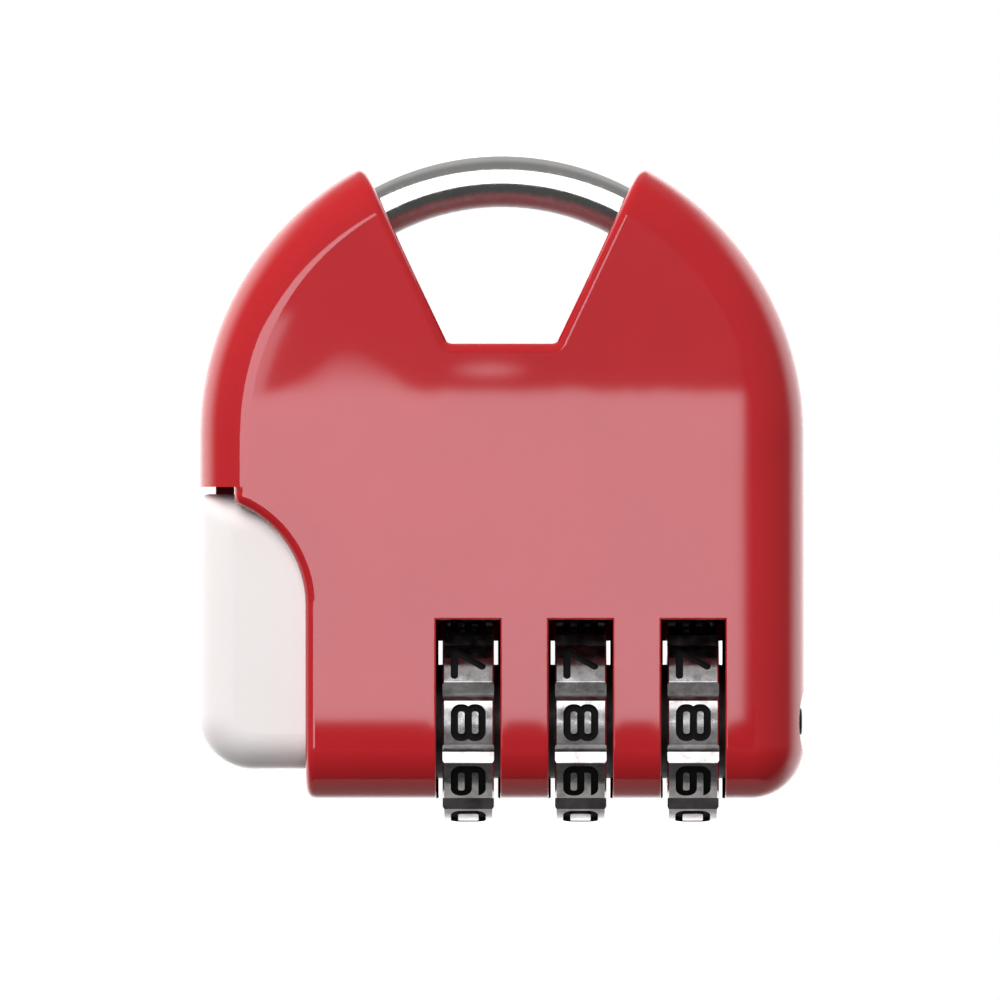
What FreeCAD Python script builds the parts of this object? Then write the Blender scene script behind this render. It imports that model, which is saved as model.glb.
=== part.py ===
import FreeCAD, Part
import math
import os

# A three-dial luggage padlock with a push-in release button and a shackle that swings open.
# +X is to the right, +Y runs from the front of the lock to its back, and +Z is up.
# Shapes are drawn about the centre of the crown's arc. Saving a node moves it so that the
# origin is the hang point, on the underside of the shackle's bow.

Vector = FreeCAD.Vector
Y_AXIS = Vector(0, 1, 0)
X_AXIS = Vector(1, 0, 0)

# Casing
CASE_R = 18.9
HALF_T = 6.5
CASE_BOTTOM = -22.7
CASE_CORNER_R = 3.4
RIM_R = 3.2
WALL = 1.1
SLOT_EDGE_R = 0.12
SEAM_WIDTH = 0.16
SEAM_DEPTH = 0.16
BIG = 40.0

# Notch under the shackle
NOTCH_FLOOR = 5.7
NOTCH_HALF = 3.36
NOTCH_SLOPE = 0.475
NOTCH_CORNER_R = 0.4
NOTCH_EDGE_R = 0.6
TIPS_ABOVE_FLOOR = 6.0

# Thumb window at the left
WINDOW_TOP = -3.25
WINDOW_STEP_X = -16.65
THUMB_X = -19.03
THUMB_Z = -10.6
THUMB_R = 6.8
WINDOW_EDGE_X = THUMB_X + THUMB_R
WINDOW_EDGE_R = 0.6
LEDGE_Y = 5.42
LEDGE_DROP = 0.9
LEDGE_RISE = 1.0
LEDGE_OVERLAP = 0.5
LEDGE_INSET = 0.1

# Shackle
BOW_R = 15.9
WIRE_R = 1.65
WIRE_START = 55.5
WIRE_END = 150.0
WIRE_BORE_R = 1.75
GUIDE_R_IN = 13.0
RIGHT_GUIDE = (50.0, 64.0)
LEFT_GUIDE = (116.0, 128.0)
RIGHT_BORE_START = 54.5
GUIDE_OVERRUN = 4.0
WIRE_TIP_R = 0.3

# Carrier that swings the shackle about the crown's centre
PIVOT_PIN_R = 1.0
PIVOT_BORE_R = 1.06
PIVOT_BOSS_R = 2.0
HUB_R = 2.5
CARRIER_HALF_T = 1.3
CARRIER_GAP = 0.1
ARM_HALF = 1.1
ARM_ANGLE = 148.0
ARM_OVERLAP = 1.0
PAD_ANGLES = (141.0, 151.0)
PAD_R_IN = 13.3
PAD_R_OUT = 17.4
PAD_HALF_T = 2.5
SOCKET_OVERRUN = 2.0
SOCKET_END_GAP = 0.1
CROSS_PIN_R = 0.6
CROSS_PIN_ANGLE = 146.0
DRIVE_R = 4.1
DRIVE_ANGLE = 252.5
DRIVE_PIN_R = 0.5
DRIVE_PIN_REACH = 0.2
DRIVE_BOSS_R = 1.1

# Release button and its tongue
BUTTON_LEFT = -18.9
BUTTON_RIGHT = -11.4
BUTTON_TOP = -3.7
BUTTON_BOTTOM = -20.8
BUTTON_HALF_T = 5.3
BUTTON_WALL = 1.2
BUTTON_BOTTOM_R = 3.4
BUTTON_TOP_R = 0.7
BUTTON_FACE_R = 2.2
BUTTON_POCKET_DEPTH = 2.0
WEB_X = (-13.6, -12.4)
WEB_INSET = 1.0
STOP_LUG = 1.0
STOP_LUG_INSET = 0.4
STOP_RIB_WIDTH = 1.0
STOP_RIB_Y = 3.5
STOP_RIB_TOP = -1.6
STOP_RIB_GAP = 0.2
SPRING_POST = 1.5
SPRING_POST_R = 1.0
TONGUE_Y = (1.5, 2.9)
TONGUE_Z = (-6.2, -2.6)
TONGUE_END = 0.6
TONGUE_STEP_X = -10.8
TONGUE_SLOT = (1.2, 1.7)

# Dials and the sleeves inside them
DIAL_X = (-2.1, 4.9, 11.9)
DIAL_NAMES = ("left", "middle", "right")
DIAL_Z = -17.9
DIAL_R = 6.3
DIAL_WIDTH = 3.2
DIAL_EDGE = 0.1
DIGITS = 10
STEP = 360.0 / DIGITS
TILE_HALF_ANGLE = 12.4
GROOVE_DEPTH = 0.38
LIP_R = 0.1
SHOWN_DIGIT = 8
DIAL_BORE_R = 3.62
NOTCH_R = 4.15
NOTCH_WIDTH = 1.1
COUNTERBORE_R = 4.2
COUNTERBORE_END = -0.2
SLEEVE_R = 3.55
SLEEVE_HALF = 3.45
SLEEVE_BORE_R = 2.6
RIB_R = 4.05
RIB_WIDTH = 0.9
RIB_SPAN = (0.15, 1.05)
GATE_WEB = (-2.0, -1.4)
GATE_HOLE_R = 1.3
GATE_WIDTH = 1.2

# Digits cut into the dials
DIGIT_HALF_W = 0.92
DIGIT_HALF_H = 0.86
STROKE = 0.46
LOOP_R = 0.38
ENGRAVE = 0.3
CUTTER_DEPTH = ENGRAVE + 0.2

# Slots and chambers for the dials
FRONT_SLOT_HALF = 2.0
BACK_SLOT_HALF = 1.85
FRONT_SLOT_TOP = -11.5
BACK_SLOT_TOP = -12.9
CHAMBER_TOP = -11.2
DIAL_BLOCK_X = (-4.9, 14.7)
SADDLE_R = 3.63
SADDLE_OVERRUN = 0.1

# Spindle through the sleeves
SPINDLE_R = 1.2
SPINDLE_END = 11.2
SPINDLE_HEAD_R = 1.65
SPINDLE_HEAD_LENGTH = 1.1
FIN_R = 2.45
FIN_WIDTH = 1.0
FIN_THICK = 0.6
FIN_GAP = 0.25
SPINDLE_RIB_X = (-8.7, -7.9)
SPINDLE_RIB_BORE_R = 1.28
SPINDLE_RIB_RISE = 3.6
CLIP_THICK = 0.5
CLIP_GROOVE_R = 0.85
CLIP_R = 1.65
CLIP_MOUTH = 0.9
CLIP_CLEARANCE = 0.5

# Reset button at the right
RESET_FLANGE_X = (15.45, 16.45)
RESET_FLANGE_R = 3.4
RESET_STEM_R = 0.85
RESET_BORE_R = 0.93
RESET_END = 18.75
RESET_BOSS_R = 2.0
RESET_BOSS_GAP = 0.35
RESET_ROOT = 0.2
RESET_TIP_R = 0.15
RESET_DISH_R = 1.8
RESET_DISH_DEPTH = 0.4
SCALLOP_DEPTH = 0.4
SCALLOP_R = 7.1

# Springs
BUTTON_SPRING_Z = -10.0
BUTTON_SPRING_R = 1.6
BUTTON_SPRING_WIRE_R = 0.2
BUTTON_SPRING_TURNS = 6
SLEEVE_SPRING_R = 2.6
SLEEVE_SPRING_WIRE_R = 0.15
SLEEVE_SPRING_TURNS = 2.5
SLEEVE_SPRING_GAP = 0.1
SPRING_RIB_X = (-4.9, -4.1)
SPRING_RIB_HALF = 2.2
LEAF_Z = (-9.9, -9.6)
LEAF_Y = (1.2, 5.0)
LEAF_X = (-3.4, 13.2)
FINGER_HALF = 0.8
DETENT_LIFT = 0.2
# Outline of a finger beyond the leaf, as (y, height above the tip)
FINGER_OUTLINE = ((-0.15, 0.3), (-0.6, 0.9), (-0.85, 0.75), (-0.25, 0.0), (0.2, 0.0))
FINGER_BEND = (0.5, 0.4)
LEAF_BLOCK_X = (1.4, 8.4)
LEAF_BLOCK_HALF = 1.5
LEAF_RIVET_R = 0.5
LEAF_RIVET_HEAD_R = 0.95
LEAF_RIVET_HEAD = 0.4
LEAF_RIVET_LENGTH = 2.0
LEAF_SEAT_DEPTH = 0.5

# Press pins that hold the covers together, as (x, z)
COVER_PINS = ((12.0, 4.0), (15.6, -8.2), (4.9, -7.0), (-7.3, 9.3))
COVER_PIN_R = 0.8
COVER_BOSS_R = 1.6
COVER_PIN_HALF = 4.6

CROWN_Z = -(BOW_R - WIRE_R)
GAP = 0.02


def block(x0, x1, y0, y1, z0, z1):
    return Part.makeBox(x1 - x0, y1 - y0, z1 - z0, Vector(x0, y0, z0))


def rod_x(radius, x0, x1, y=0.0, z=DIAL_Z):
    return Part.makeCylinder(radius, x1 - x0, Vector(x0, y, z), X_AXIS)


def rod_y(radius, y0, y1, x=0.0, z=0.0):
    return Part.makeCylinder(radius, y1 - y0, Vector(x, y0, z), Y_AXIS)


def polar(radius, degrees):
    angle = math.radians(degrees)
    return radius * math.cos(angle), radius * math.sin(angle)


def prism_y(points, y0, y1):
    """A closed outline of (x, z) points, carried from y0 to y1."""
    corners = [Vector(x, y0, z) for x, z in points]
    wire = Part.makePolygon(corners + corners[:1])
    return Part.Face(wire).extrude(Vector(0, y1 - y0, 0))


def sector(r_in, r_out, start, end, half_t):
    """A piece of a flat ring about the crown's centre, between two angles from +X."""
    ring = Part.makeCylinder(r_out, 2 * half_t, Vector(0, -half_t, 0), Y_AXIS)
    ring = ring.cut(Part.makeCylinder(r_in, 2 * half_t, Vector(0, -half_t, 0), Y_AXIS))
    wedge = prism_y([(0, 0), polar(BIG, start), polar(BIG, end)], -half_t, half_t)
    return ring.common(wedge)


def bow(wire_r, start, end):
    """A round bar bent about the crown's centre, between two angles from +X."""
    x, z = polar(BOW_R, start)
    tangent_x, tangent_z = polar(1.0, start + 90)
    circle = Part.Wire(Part.makeCircle(wire_r, Vector(x, 0, z), Vector(tangent_x, 0, tangent_z)))
    return Part.Face(circle).revolve(Vector(0, 0, 0), Vector(0, -1, 0), end - start)


def is_along_y(edge):
    first = edge.valueAt(edge.FirstParameter)
    last = edge.valueAt(edge.LastParameter)
    return abs(first.y - last.y) > 0.9 * edge.Length


def edges_on(solid, tool, near=None):
    """Edges of the solid on the tool's surface, without the straight ones along Y."""
    skin = Part.Compound(tool.Faces)
    found = []
    for edge in solid.Edges:
        if is_along_y(edge):
            continue
        span = edge.LastParameter - edge.FirstParameter
        points = [edge.valueAt(edge.FirstParameter + span * t) for t in (0.02, 0.5, 0.98)]
        if near and not all(near(point) for point in points):
            continue
        if all(skin.distToShape(Part.Vertex(point))[0] < 1e-4 for point in points):
            found.append(edge)
    return found


def y_edges_at(solid, x, z, reach=0.05):
    """Edges along Y that pass within reach of (x, z)."""
    found = []
    for edge in solid.Edges:
        middle = edge.CenterOfMass
        if is_along_y(edge) and math.hypot(middle.x - x, middle.z - z) < reach:
            found.append(edge)
    return found


def crown_outline(inset):
    """The casing's outline as a face at y = 0, drawn in by an inset."""
    radius = CASE_R - inset
    bottom = CASE_BOTTOM + inset
    corner = CASE_CORNER_R - inset
    bend = corner * (1 - math.sqrt(0.5))

    def line(a, b):
        return Part.LineSegment(Vector(a[0], 0, a[1]), Vector(b[0], 0, b[1])).toShape()

    def arc(a, b, c):
        points = [Vector(x, 0, z) for x, z in (a, b, c)]
        return Part.Arc(*points).toShape()

    edges = [
        arc((radius, 0), (0, radius), (-radius, 0)),
        line((-radius, 0), (-radius, bottom + corner)),
        arc((-radius, bottom + corner), (-radius + bend, bottom + bend), (-radius + corner, bottom)),
        line((-radius + corner, bottom), (radius - corner, bottom)),
        arc((radius - corner, bottom), (radius - bend, bottom + bend), (radius, bottom + corner)),
        line((radius, bottom + corner), (radius, 0)),
    ]
    return Part.Face(Part.Wire(Part.__sortEdges__(edges)))


def rounded_crown(inset):
    """The casing without its notch or window, with both rims rounded."""
    half = HALF_T - inset
    solid = crown_outline(inset).extrude(Vector(0, 2 * half, 0))
    solid.translate(Vector(0, -half, 0))
    rims = [edge for edge in solid.Edges if abs(abs(edge.CenterOfMass.y) - half) < 1e-6]
    return solid.makeFillet(RIM_R - inset, rims)


def notch_wedge(grow):
    """The space of the notch, grown by a wall on all sides."""
    slant = math.hypot(1, NOTCH_SLOPE)
    floor = NOTCH_FLOOR - grow
    half = NOTCH_HALF + grow * (slant - NOTCH_SLOPE)
    rise = BIG / 2
    top = half + NOTCH_SLOPE * rise
    wedge = prism_y([(-half, floor), (half, floor), (top, floor + rise), (-top, floor + rise)], -BIG, BIG)
    corners = y_edges_at(wedge, -half, floor) + y_edges_at(wedge, half, floor)
    return wedge.makeFillet(NOTCH_CORNER_R + grow, corners)


def thumb_cut():
    """What the window takes out of the casing, through both covers."""
    disc = rod_y(THUMB_R, -BIG, BIG, THUMB_X, THUMB_Z)
    below = block(-BIG, WINDOW_EDGE_X, -BIG, BIG, -BIG, THUMB_Z)
    above = block(-BIG, WINDOW_STEP_X, -BIG, BIG, THUMB_Z, WINDOW_TOP)
    return disc.fuse([below, above]).removeSplitter()


def envelope():
    """The outside of both covers as one solid. The tips' rounding runs on round the notch."""
    notch = notch_wedge(0)
    window = thumb_cut()
    solid = rounded_crown(0).cut(notch)
    tips = [
        edge for edge in solid.Edges
        if is_along_y(edge) and edge.CenterOfMass.z > NOTCH_FLOOR + TIPS_ABOVE_FLOOR
    ]
    solid = solid.makeFillet(NOTCH_EDGE_R, tips)
    solid = solid.cut(window)
    nub_z = THUMB_Z + math.sqrt(THUMB_R ** 2 - (WINDOW_STEP_X - THUMB_X) ** 2)
    solid = solid.makeFillet(WINDOW_EDGE_R, y_edges_at(solid, WINDOW_STEP_X, nub_z))
    solid = solid.makeFillet(WINDOW_EDGE_R, y_edges_at(solid, WINDOW_EDGE_X, CASE_BOTTOM))
    scallop_x = CASE_R - SCALLOP_DEPTH + SCALLOP_R
    solid = solid.cut(rod_y(SCALLOP_R, -BIG, BIG, scallop_x, DIAL_Z))
    return solid


def spring_rib():
    """The rib that the button's return spring pushes against."""
    low = BUTTON_SPRING_Z - SPRING_RIB_HALF
    high = BUTTON_SPRING_Z + SPRING_RIB_HALF
    return block(SPRING_RIB_X[0], SPRING_RIB_X[1], -HALF_T, HALF_T, low, high)


def spindle_rib():
    """The rib that carries the spindle and backs the sleeve spring."""
    top = DIAL_Z + SPINDLE_RIB_RISE
    rib = block(SPINDLE_RIB_X[0], SPINDLE_RIB_X[1], -HALF_T, HALF_T, CASE_BOTTOM, top)
    return rib.cut(rod_x(SPINDLE_RIB_BORE_R, SPINDLE_RIB_X[0], SPINDLE_RIB_X[1]))


def stop_ribs():
    """Ribs at both covers that hold the button's top lug when it is out."""
    x0 = WEB_X[0]
    x1 = x0 + STOP_RIB_WIDTH
    low = BUTTON_TOP + STOP_RIB_GAP
    front = block(x0, x1, -HALF_T, -STOP_RIB_Y, low, STOP_RIB_TOP)
    back = block(x0, x1, STOP_RIB_Y, HALF_T, low, STOP_RIB_TOP)
    return [front, back]


def bosses():
    """Posts that stand on the inside of both covers."""
    posts = [rod_y(COVER_BOSS_R, -HALF_T, HALF_T, x, z) for x, z in COVER_PINS]
    inner = CARRIER_HALF_T + CARRIER_GAP
    posts.append(rod_y(PIVOT_BOSS_R, -HALF_T, -inner))
    posts.append(rod_y(PIVOT_BOSS_R, inner, HALF_T))
    return posts


def leaf_blocks():
    """Seats on the back cover's dividers for the detent leaf."""
    low = CHAMBER_TOP - LEAF_SEAT_DEPTH
    half = LEAF_BLOCK_HALF
    return [block(x - half, x + half, LEAF_Y[0], HALF_T, low, LEAF_Z[0]) for x in LEAF_BLOCK_X]


def reset_boss():
    return rod_x(RESET_BOSS_R, RESET_FLANGE_X[1] + RESET_BOSS_GAP, CASE_R)


def cavity():
    """The space inside both covers."""
    space = rounded_crown(WALL)
    kept = [notch_wedge(WALL)]
    kept.append(sector(GUIDE_R_IN, CASE_R, RIGHT_GUIDE[0], RIGHT_GUIDE[1], HALF_T))
    kept.append(sector(GUIDE_R_IN, CASE_R, LEFT_GUIDE[0], LEFT_GUIDE[1], HALF_T))
    kept.append(block(DIAL_BLOCK_X[0], DIAL_BLOCK_X[1], -HALF_T, HALF_T, CASE_BOTTOM, CHAMBER_TOP))
    kept.append(spring_rib())
    kept.append(spindle_rib())
    kept.append(reset_boss())
    kept += stop_ribs()
    kept += bosses()
    kept += leaf_blocks()
    return space.cut(kept)


def dial_slots():
    """The openings for the dials, wider and higher at the front than at the back."""
    slots = []
    for x in DIAL_X:
        slots.append(block(x - FRONT_SLOT_HALF, x + FRONT_SLOT_HALF, -BIG, 0, -BIG, FRONT_SLOT_TOP))
        slots.append(block(x - BACK_SLOT_HALF, x + BACK_SLOT_HALF, 0, BIG, -BIG, BACK_SLOT_TOP))
    return slots


def dial_chambers():
    """Room behind the slots for the tops of the dials."""
    inner = HALF_T - WALL
    half = BACK_SLOT_HALF
    top = CHAMBER_TOP + GAP
    return [block(x - half, x + half, -inner, inner, DIAL_Z, top) for x in DIAL_X]


def bores():
    """Round holes through the inside of both covers."""
    reach = COVER_PIN_HALF + GAP
    holes = [
        rod_x(SADDLE_R, DIAL_BLOCK_X[0] - SADDLE_OVERRUN, DIAL_BLOCK_X[1] + SADDLE_OVERRUN),
        rod_x(RESET_BORE_R, RESET_FLANGE_X[1], BIG),
        bow(WIRE_BORE_R, RIGHT_BORE_START, RIGHT_GUIDE[1] + GUIDE_OVERRUN),
        bow(WIRE_BORE_R, LEFT_GUIDE[0] - GUIDE_OVERRUN, LEFT_GUIDE[1] + GUIDE_OVERRUN),
        rod_y(PIVOT_PIN_R + GAP, -reach, reach),
    ]
    for x, z in COVER_PINS:
        holes.append(rod_y(COVER_PIN_R + GAP, -reach, reach, x, z))
    for x in LEAF_BLOCK_X:
        foot = Vector(x, sum(LEAF_Y) / 2, LEAF_Z[0] - LEAF_RIVET_LENGTH)
        holes.append(Part.makeCylinder(LEAF_RIVET_R + GAP, LEAF_RIVET_LENGTH, foot))
    return holes


def gap_ledge():
    """A lip of the back cover behind the gap between the rim's end and the button."""
    right = WINDOW_STEP_X + LEDGE_OVERLAP
    back = HALF_T - LEDGE_INSET
    lip = block(-CASE_R, right, LEDGE_Y, back, WINDOW_TOP - LEDGE_DROP, WINDOW_TOP + LEDGE_RISE)
    return lip.common(rounded_crown(LEDGE_INSET))


def seam_groove(solid):
    """A thin line cut around the outside where the covers meet."""
    outline = solid.slice(Y_AXIS, 0.0)
    face = Part.Face(max(outline, key=lambda wire: wire.Length))
    inside = face.makeOffset2D(-SEAM_DEPTH)
    plate = block(-BIG, BIG, 0, SEAM_WIDTH, -BIG, BIG)
    plate.translate(Vector(0, -SEAM_WIDTH / 2, 0))
    core = inside.extrude(Vector(0, SEAM_WIDTH, 0))
    core.translate(Vector(0, -SEAM_WIDTH / 2, 0))
    return plate.cut(core)


def at_face(point):
    return abs(point.y) > HALF_T - 0.05


def shaped_outside():
    """The envelope with the dial slots, and with the edges of its openings rounded."""
    solid = envelope()
    slots = dial_slots()
    solid = solid.cut(slots)
    mouths = []
    for slot in slots:
        mouths += edges_on(solid, slot, at_face)
    return solid.makeFillet(SLOT_EDGE_R, mouths)


def covers():
    groove = seam_groove(envelope())
    walls = shaped_outside()
    for tool in [cavity(), groove] + dial_chambers() + bores():
        walls = walls.cut(tool)
    front = walls.common(block(-BIG, BIG, -BIG, 0, -BIG, BIG))
    back = walls.common(block(-BIG, BIG, 0, BIG, -BIG, BIG)).fuse(gap_ledge())
    return {"front_cover": front, "back_cover": back}


def cover_pins():
    pins = [rod_y(COVER_PIN_R, -COVER_PIN_HALF, COVER_PIN_HALF, x, z) for x, z in COVER_PINS]
    return Part.Compound(pins)


def carrier_pivot_pin():
    return rod_y(PIVOT_PIN_R, -COVER_PIN_HALF, COVER_PIN_HALF)


def shackle():
    """The bent wire, whose ends are lightly rounded."""
    wire = bow(WIRE_R, WIRE_START, WIRE_END)
    ends = [edge for edge in wire.Edges if abs(edge.Length - 2 * math.pi * WIRE_R) < 0.01]
    wire = wire.makeFillet(WIRE_TIP_R, ends)
    x, z = polar(BOW_R, CROSS_PIN_ANGLE)
    return wire.cut(rod_y(CROSS_PIN_R + GAP, -HALF_T, HALF_T, x, z))


def shackle_carrier():
    """Hub, arm, wire socket and drive lug in one part."""
    half = CARRIER_HALF_T
    arm = block(0, PAD_R_IN + ARM_OVERLAP, -half, half, -ARM_HALF, ARM_HALF)
    arm.rotate(Vector(0, 0, 0), Vector(0, -1, 0), ARM_ANGLE)
    lug = block(0, DRIVE_R, -half, half, -DRIVE_BOSS_R, DRIVE_BOSS_R)
    lug.rotate(Vector(0, 0, 0), Vector(0, -1, 0), DRIVE_ANGLE)
    x, z = polar(DRIVE_R, DRIVE_ANGLE)
    boss = rod_y(DRIVE_BOSS_R, -half, half, x, z)
    pad = sector(PAD_R_IN, PAD_R_OUT, PAD_ANGLES[0], PAD_ANGLES[1], PAD_HALF_T)
    solid = rod_y(HUB_R, -half, half).fuse([arm, lug, boss, pad]).removeSplitter()
    cross_x, cross_z = polar(BOW_R, CROSS_PIN_ANGLE)
    holes = [
        rod_y(PIVOT_BORE_R, -half, half),
        rod_y(DRIVE_PIN_R + GAP, -half, half, x, z),
        bow(WIRE_R + GAP, PAD_ANGLES[0] - SOCKET_OVERRUN, WIRE_END + SOCKET_END_GAP),
        rod_y(CROSS_PIN_R + GAP, -PAD_HALF_T, PAD_HALF_T, cross_x, cross_z),
    ]
    return solid.cut(holes)


def shackle_cross_pin():
    x, z = polar(BOW_R, CROSS_PIN_ANGLE)
    return rod_y(CROSS_PIN_R, -PAD_HALF_T, PAD_HALF_T, x, z)


def drive_pin():
    x, z = polar(DRIVE_R, DRIVE_ANGLE)
    return rod_y(DRIVE_PIN_R, -CARRIER_HALF_T, TONGUE_Y[1] + DRIVE_PIN_REACH, x, z)


def button_shell():
    """The thumb piece: a rounded block, hollow and open towards the dials."""
    half = BUTTON_HALF_T
    solid = block(BUTTON_LEFT, BUTTON_RIGHT, -half, half, BUTTON_BOTTOM, BUTTON_TOP)
    solid = solid.makeFillet(BUTTON_BOTTOM_R, y_edges_at(solid, BUTTON_LEFT, BUTTON_BOTTOM))
    solid = solid.makeFillet(BUTTON_TOP_R, y_edges_at(solid, BUTTON_LEFT, BUTTON_TOP))
    rims = []
    for edge in solid.Edges:
        middle = edge.CenterOfMass
        at_side = abs(abs(middle.y) - half) < 1e-6
        at_mouth = abs(middle.x - BUTTON_RIGHT) < 1e-6
        at_top = abs(middle.z - BUTTON_TOP) < BUTTON_TOP_R
        if at_side and not at_mouth and not at_top:
            rims.append(edge)
    solid = solid.makeFillet(BUTTON_FACE_R, rims)
    inner = half - BUTTON_WALL
    bottom = BUTTON_BOTTOM + BUTTON_WALL
    left = BUTTON_LEFT + BUTTON_POCKET_DEPTH
    pocket = block(left, BUTTON_RIGHT, -inner, inner, bottom, BUTTON_TOP - BUTTON_WALL)
    return solid.cut(pocket)


def release_button():
    """The thumb piece with its web, stop lug, spring post and the tongue."""
    half = BUTTON_HALF_T - WEB_INSET
    web = block(WEB_X[0], WEB_X[1], -half, half, BUTTON_BOTTOM + WEB_INSET, BUTTON_TOP - WEB_INSET)
    web = web.cut(rod_x(SPINDLE_R + GAP, WEB_X[0], WEB_X[1]))
    half = BUTTON_HALF_T - STOP_LUG_INSET
    root = BUTTON_TOP - STOP_LUG
    lug = block(BUTTON_RIGHT - STOP_LUG, BUTTON_RIGHT, -half, half, root, BUTTON_TOP + STOP_LUG)
    post = rod_x(SPRING_POST_R, WEB_X[1], WEB_X[1] + SPRING_POST, 0, BUTTON_SPRING_Z)
    tongue = block(WEB_X[1], TONGUE_END, TONGUE_Y[0], TONGUE_Y[1], TONGUE_Z[0], root)
    raised = block(TONGUE_STEP_X, TONGUE_END, TONGUE_Y[0], TONGUE_Y[1], TONGUE_Z[0], TONGUE_Z[1])
    solid = button_shell().fuse([web, lug, post, tongue, raised]).removeSplitter()
    x, z = polar(DRIVE_R, DRIVE_ANGLE)
    wide, tall = TONGUE_SLOT
    drop = DRIVE_R - abs(z)
    slot_z = z - drop / 2
    slot = block(x - wide / 2, x + wide / 2, TONGUE_Y[0], TONGUE_Y[1], slot_z - tall / 2, slot_z + tall / 2)
    return solid.cut(slot)


def fin_starts():
    return [x + GATE_WEB[0] - FIN_GAP - FIN_THICK for x in DIAL_X]


def spindle():
    """The rod that the button pushes, with one fin for each sleeve's gate."""
    head = rod_x(SPINDLE_HEAD_R, WEB_X[0] - SPINDLE_HEAD_LENGTH, WEB_X[0] - GAP)
    shaft = rod_x(SPINDLE_R, WEB_X[0] - SPINDLE_HEAD_LENGTH, SPINDLE_END)
    fins = []
    for x in fin_starts():
        half = FIN_WIDTH / 2
        fins.append(block(x, x + FIN_THICK, -half, half, DIAL_Z, DIAL_Z + FIN_R))
    solid = shaft.fuse([head] + fins).removeSplitter()
    clip_x = WEB_X[1]
    clip_end = clip_x + CLIP_THICK + 2 * GAP
    ring = rod_x(SPINDLE_R + CLIP_CLEARANCE, clip_x + GAP, clip_end)
    ring = ring.cut(rod_x(CLIP_GROOVE_R, clip_x, clip_end))
    return solid.cut(ring)


def spindle_clip():
    """An E-clip in the spindle's groove, open downwards."""
    x0 = WEB_X[1] + GAP
    x1 = x0 + CLIP_THICK - GAP
    disc = rod_x(CLIP_R, x0, x1)
    half = CLIP_GROOVE_R * CLIP_MOUTH
    mouth = block(x0, x1, -half, half, DIAL_Z - CLIP_R, DIAL_Z)
    return disc.cut([rod_x(CLIP_GROOVE_R + GAP, x0, x1), mouth])


def sleeve(x):
    """A dial's inner sleeve, with its gate web and two clutch ribs."""
    start = x - SLEEVE_HALF
    end = x + SLEEVE_HALF
    web_start = x + GATE_WEB[0]
    web_end = x + GATE_WEB[1]
    half = RIB_WIDTH / 2
    ribs = block(x + RIB_SPAN[0], x + RIB_SPAN[1], -half, half, DIAL_Z - RIB_R, DIAL_Z + RIB_R)
    solid = rod_x(SLEEVE_R, start, end).fuse(ribs.common(rod_x(RIB_R, start, end)))
    half = GATE_WIDTH / 2
    gate_top = DIAL_Z + SLEEVE_BORE_R - GAP
    for tool in (
        rod_x(SLEEVE_BORE_R, start, web_start),
        rod_x(SLEEVE_BORE_R, web_end, end),
        rod_x(GATE_HOLE_R, start, x),
        block(web_start - GAP, web_end + GAP, -half, half, DIAL_Z, gate_top),
    ):
        solid = solid.cut(tool)
    return solid


def dial_blank():
    """The dial's ten tiles with V grooves between them, about the X axis at the origin."""
    left = -DIAL_WIDTH / 2

    def place(radius, degrees):
        u, v = polar(radius, degrees)
        return Vector(left, -u, v)

    edges = []
    for index in range(DIGITS):
        middle = index * STEP
        first = place(DIAL_R, middle - TILE_HALF_ANGLE)
        last = place(DIAL_R, middle + TILE_HALF_ANGLE)
        root = place(DIAL_R - GROOVE_DEPTH, middle + STEP / 2)
        after = place(DIAL_R, middle + STEP - TILE_HALF_ANGLE)
        edges.append(Part.Arc(first, place(DIAL_R, middle), last).toShape())
        edges.append(Part.LineSegment(last, root).toShape())
        edges.append(Part.LineSegment(root, after).toShape())
    wire = Part.Wire(Part.__sortEdges__(edges))
    solid = Part.Face(wire).extrude(Vector(DIAL_WIDTH, 0, 0))
    lips = []
    for edge in solid.Edges:
        middle = edge.CenterOfMass
        at_rim = math.hypot(middle.y, middle.z) > DIAL_R - GROOVE_DEPTH / 2
        if abs(middle.x) < 1e-6 and at_rim:
            lips.append(edge)
    solid = solid.makeFillet(LIP_R, lips)
    half = DIAL_WIDTH / 2
    profile = Part.makePolygon([
        Vector(-half, 0, 0),
        Vector(-half, 0, DIAL_R - DIAL_EDGE),
        Vector(-half + 2 * DIAL_EDGE, 0, DIAL_R + DIAL_EDGE),
        Vector(half - 2 * DIAL_EDGE, 0, DIAL_R + DIAL_EDGE),
        Vector(half, 0, DIAL_R - DIAL_EDGE),
        Vector(half, 0, 0),
        Vector(-half, 0, 0),
    ])
    return solid.common(Part.Face(profile).revolve(Vector(0, 0, 0), X_AXIS, 360))


# Digits are drawn flat, with u to the digit's right, v to its top and w out of the dial. Their
# floor is a plane one engraving depth inside the middle of the tile.

def bar(start, end):
    """A straight stroke with round ends."""
    u0, v0 = start
    u1, v1 = end
    length = math.hypot(u1 - u0, v1 - v0)
    body = Part.makeBox(length, STROKE, CUTTER_DEPTH, Vector(0, -STROKE / 2, -ENGRAVE))
    body.rotate(Vector(0, 0, 0), Vector(0, 0, 1), math.degrees(math.atan2(v1 - v0, u1 - u0)))
    body.translate(Vector(u0, v0, 0))
    caps = [
        Part.makeCylinder(STROKE / 2, CUTTER_DEPTH, Vector(u, v, -ENGRAVE))
        for u, v in (start, end)
    ]
    return body.fuse(caps).removeSplitter()


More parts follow.
